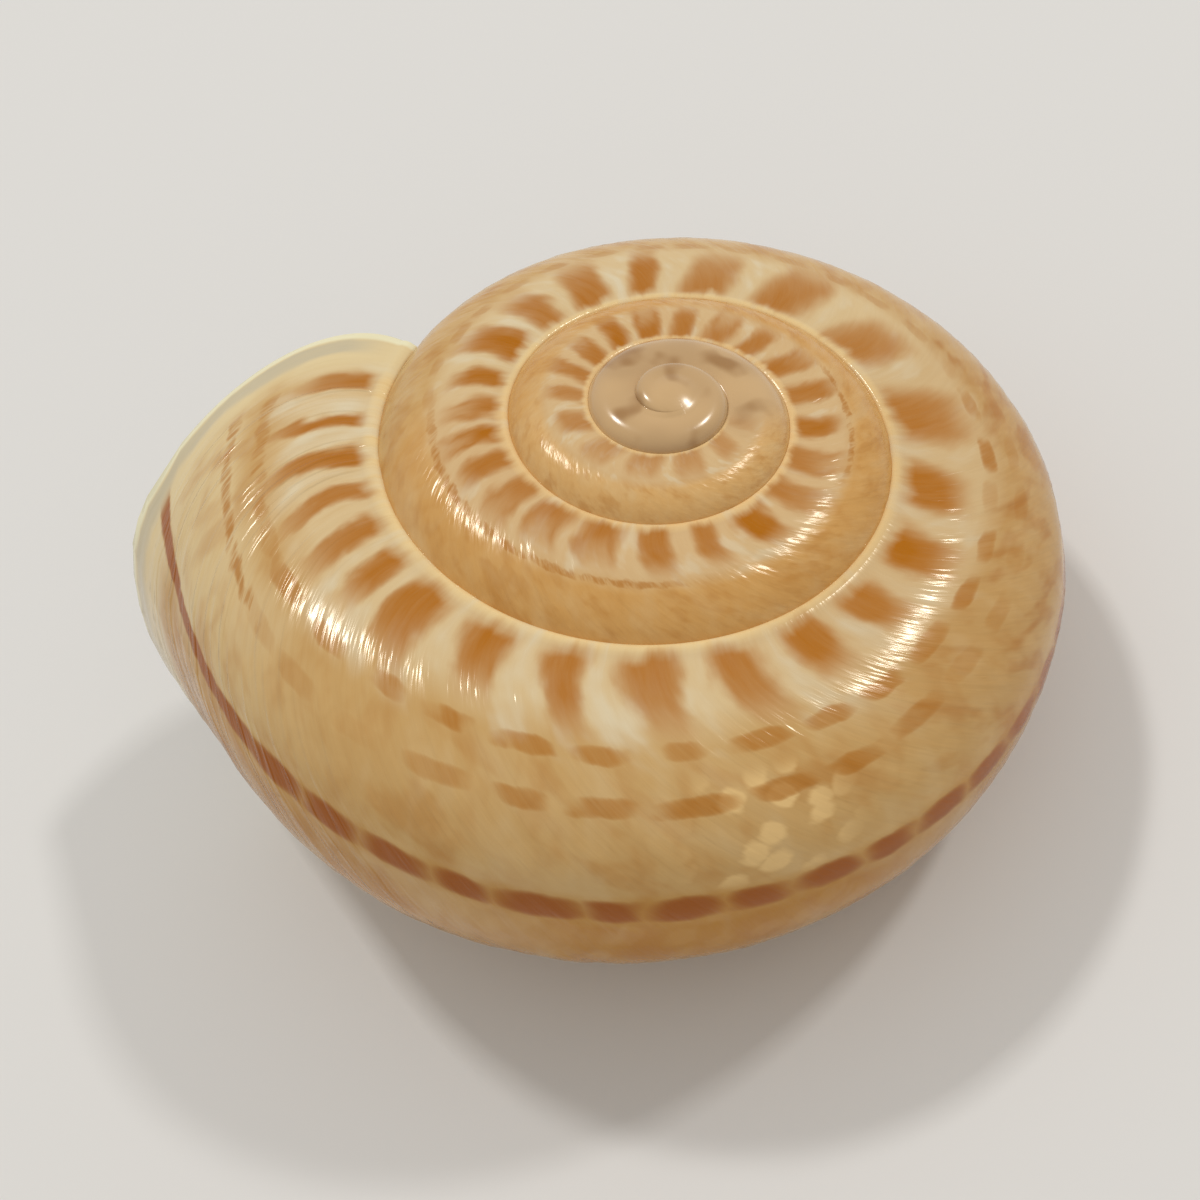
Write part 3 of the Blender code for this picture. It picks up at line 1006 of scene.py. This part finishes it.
def fine_lines(at):
    """Height and roughness of the fine growth lines that break up the shine."""
    hair, folds = at.lines(0.0024, 58, 9), at.lines(0.0014, 20, 14)
    ribs = between(at.lines(0.0008, 23, 21, 0), 0.5, 0.72)
    ribs = ribs * stretch(at.growth, -56, -24, 5, 9)
    thread = between(at.way, 4.5, 1)
    height = (hair * 0.75 + folds * 1.75 + ribs * 1.7) * (1 - 0.6 * thread) * (0.8 + 0.2 * at.later)
    height = height * (1 - 0.9 * at.first) * (1 - at.inside * 0.8)
    rough = 0.155 + 0.05 * (hair - 0.5) + 0.05 * (at.clouds(1.7, 3) - 0.5)
    return height, rough + 0.03 * (1 - at.last) + 0.03 * (1 - at.later)


def glaze(sheet, colours, sizes):
    """The principled shader's inputs."""
    at = ShellPlace(sheet, sizes)
    height, rough = fine_lines(at)
    bump = {"Strength": 1, "Distance": LINE_DEPTH, "Height": height}
    return {
        "Base Color": shell_colour(at, colours),
        "Roughness": rough,
        "Normal": sheet.wire("ShaderNodeBump", bump),
        "IOR": 1.5,
        "Specular IOR Level": 0.3,
        "Specular Tint": (1, 0.94, 0.78, 1),
        "Coat Weight": at.first * 0.9,
        "Coat Roughness": 0.19,
        "Coat IOR": 1.38,
    }


def new_material(name, inputs_on):
    """A principled material. Its inputs come from a function that is given the node sheet."""
    material = bpy.data.materials.new(name)
    material.use_nodes = True
    sheet = NodeSheet(material.node_tree)
    shader = sheet.wire("ShaderNodeBsdfPrincipled", inputs_on(sheet))
    sheet.add("ShaderNodeOutputMaterial", {"Surface": shader})
    return material


# -------- the studio

LAMPS = {  # direction from the shell, and width and height in metres
    "left_lamp": ((-0.146, 0.487, 0.861), (0.16, 0.12)),
    "right_lamp": ((0.651, 0.178, 0.740), (0.15, 0.11)),
}
LAMP_AIM = (0, 0, 0.006)
LAMP_DISTANCE = 1.5
CAMERA_PLACE = (-0.000138, -0.024329, 0.040123)
CAMERA_BACK = (0, -0.5788, 0.8155)  # against the line of sight
CAMERA_RIGHT = (0.9226, -0.3145, -0.2232)
SENSOR_WIDTH = 36  # millimetres
NEAREST, FURTHEST = 0.002, 20  # of what the camera sees, in metres


def add_floor(settings, height):
    half = settings.floor_width / 2
    mesh = bpy.data.meshes.new("floor")
    corners = (-half, -half), (half, -half), (half, half), (-half, half)
    mesh.from_pydata([(*corner, height) for corner in corners], [], [(0, 1, 2, 3)])
    inputs = {"Base Color": (*settings.floor_colour, 1), "Roughness": 0.85, "Specular IOR Level": 0.2}
    mesh.materials.append(new_material("plain_floor", lambda sheet: inputs))
    new_object("floor", mesh)


def add_lamp(name, direction, size, power):
    """An area lamp that faces the shell."""
    light = bpy.data.lights.new(name, "AREA")
    light.shape = "RECTANGLE"
    light.size, light.size_y = size
    light.energy = power
    lamp = new_object(name, light)
    towards = Vector(direction).normalized()
    lamp.location = Vector(LAMP_AIM) + towards * LAMP_DISTANCE
    lamp.rotation_euler = towards.to_track_quat("Z", "Y").to_euler()


def add_world(settings):
    """Even light from all round, behind a plain pale backdrop."""
    world = bpy.data.worlds.new("studio")
    world.use_nodes = True
    sheet = NodeSheet(world.node_tree)
    light = {"Color": (1, 0.985, 0.96, 1), "Strength": settings.world_level}
    light = sheet.wire("ShaderNodeBackground", light)
    backdrop = sheet.wire("ShaderNodeBackground", {"Color": (*settings.backdrop, 1), "Strength": 1})
    seen = sheet.wire("ShaderNodeLightPath")
    shown = sheet.wire("ShaderNodeMixShader", {0: seen, 1: light, 2: backdrop})
    sheet.add("ShaderNodeOutputWorld", {"Surface": shown})
    bpy.context.scene.world = world


def add_camera(settings):
    """Close above the shell, turned a little about its own line of sight."""
    back, right = Vector(CAMERA_BACK).normalized(), Vector(CAMERA_RIGHT)
    right = (right - back * right.dot(back)).normalized()
    up = back.cross(right)
    view = bpy.data.cameras.new("camera")
    view.lens = settings.lens
    view.sensor_width = SENSOR_WIDTH
    view.clip_start, view.clip_end = NEAREST, FURTHEST
    camera = new_object("camera", view)
    axes = Matrix((right, up, back)).transposed().to_4x4()
    camera.matrix_world = Matrix.Translation(CAMERA_PLACE) @ axes
    bpy.context.scene.camera = camera


# -------- operators and panel

class SNAILSHELL_OT_coil(bpy.types.Operator):
    """Make the coiled shell in place of the plain solid"""

    bl_idname = "snailshell.coil"
    bl_label = "Make coiled shell"

    def execute(self, context):
        sizes = context.scene.snailshell_sizes
        values = {name: getattr(sizes, name) for name in (*RULE_INPUTS, *PLAN_INPUTS)}
        plan = WallPlan(CoilRule(values), sizes.rings_per_turn)
        plan.build()
        colours = context.scene.snailshell_colours
        material = new_material("banded_shell", lambda sheet: glaze(sheet, colours, sizes))
        mesh = plan.mesh("coiled_shell_plan")
        shell = wound_piece("coiled_shell", mesh, coil_tree(), sizes, material)
        turn_faces_out(shell.data)
        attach(shell, "root")
        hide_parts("shell")
        return {"FINISHED"}


class SNAILSHELL_OT_studio(bpy.types.Operator):
    """Set up the floor, the lights and the camera"""

    bl_idname = "snailshell.studio"
    bl_label = "Set up studio"

    def execute(self, context):
        settings = context.scene.snailshell_studio
        low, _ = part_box("shell")
        add_floor(settings, low.z)
        add_world(settings)
        for name, (direction, size) in LAMPS.items():
            add_lamp(name, direction, size, getattr(settings, name))
        add_camera(settings)
        context.scene.view_settings.view_transform = "Standard"
        return {"FINISHED"}


class SNAILSHELL_PT_panel(bpy.types.Panel):
    """Everything that makes the shell and its studio"""

    bl_idname = "SNAILSHELL_PT_panel"
    bl_label = "Snail Shell"
    bl_space_type = "VIEW_3D"
    bl_region_type = "UI"
    bl_category = "Snail Shell"

    def draw(self, context):
        for kind in (SNAILSHELL_OT_coil, SNAILSHELL_OT_studio):
            self.layout.operator(kind.bl_idname)
        for group, kind in GROUPS.items():
            box = self.layout.box()
            for name in kind.__annotations__:
                box.prop(getattr(context.scene, group), name)


GROUPS = {
    "snailshell_sizes": CoilSizes,
    "snailshell_colours": ShellColours,
    "snailshell_studio": StudioSettings,
}
CLASSES = (*GROUPS.values(), SNAILSHELL_OT_coil, SNAILSHELL_OT_studio, SNAILSHELL_PT_panel)


def register():
    for kind in CLASSES:
        bpy.utils.register_class(kind)
    for name, kind in GROUPS.items():
        setattr(bpy.types.Scene, name, PointerProperty(type=kind))


def unregister():
    for name in GROUPS:
        delattr(bpy.types.Scene, name)
    for kind in reversed(CLASSES):
        bpy.utils.unregister_class(kind)


def main():
    register()
    bpy.ops.snailshell.coil()
    bpy.ops.snailshell.studio()


if __name__ == "__main__":
    main()
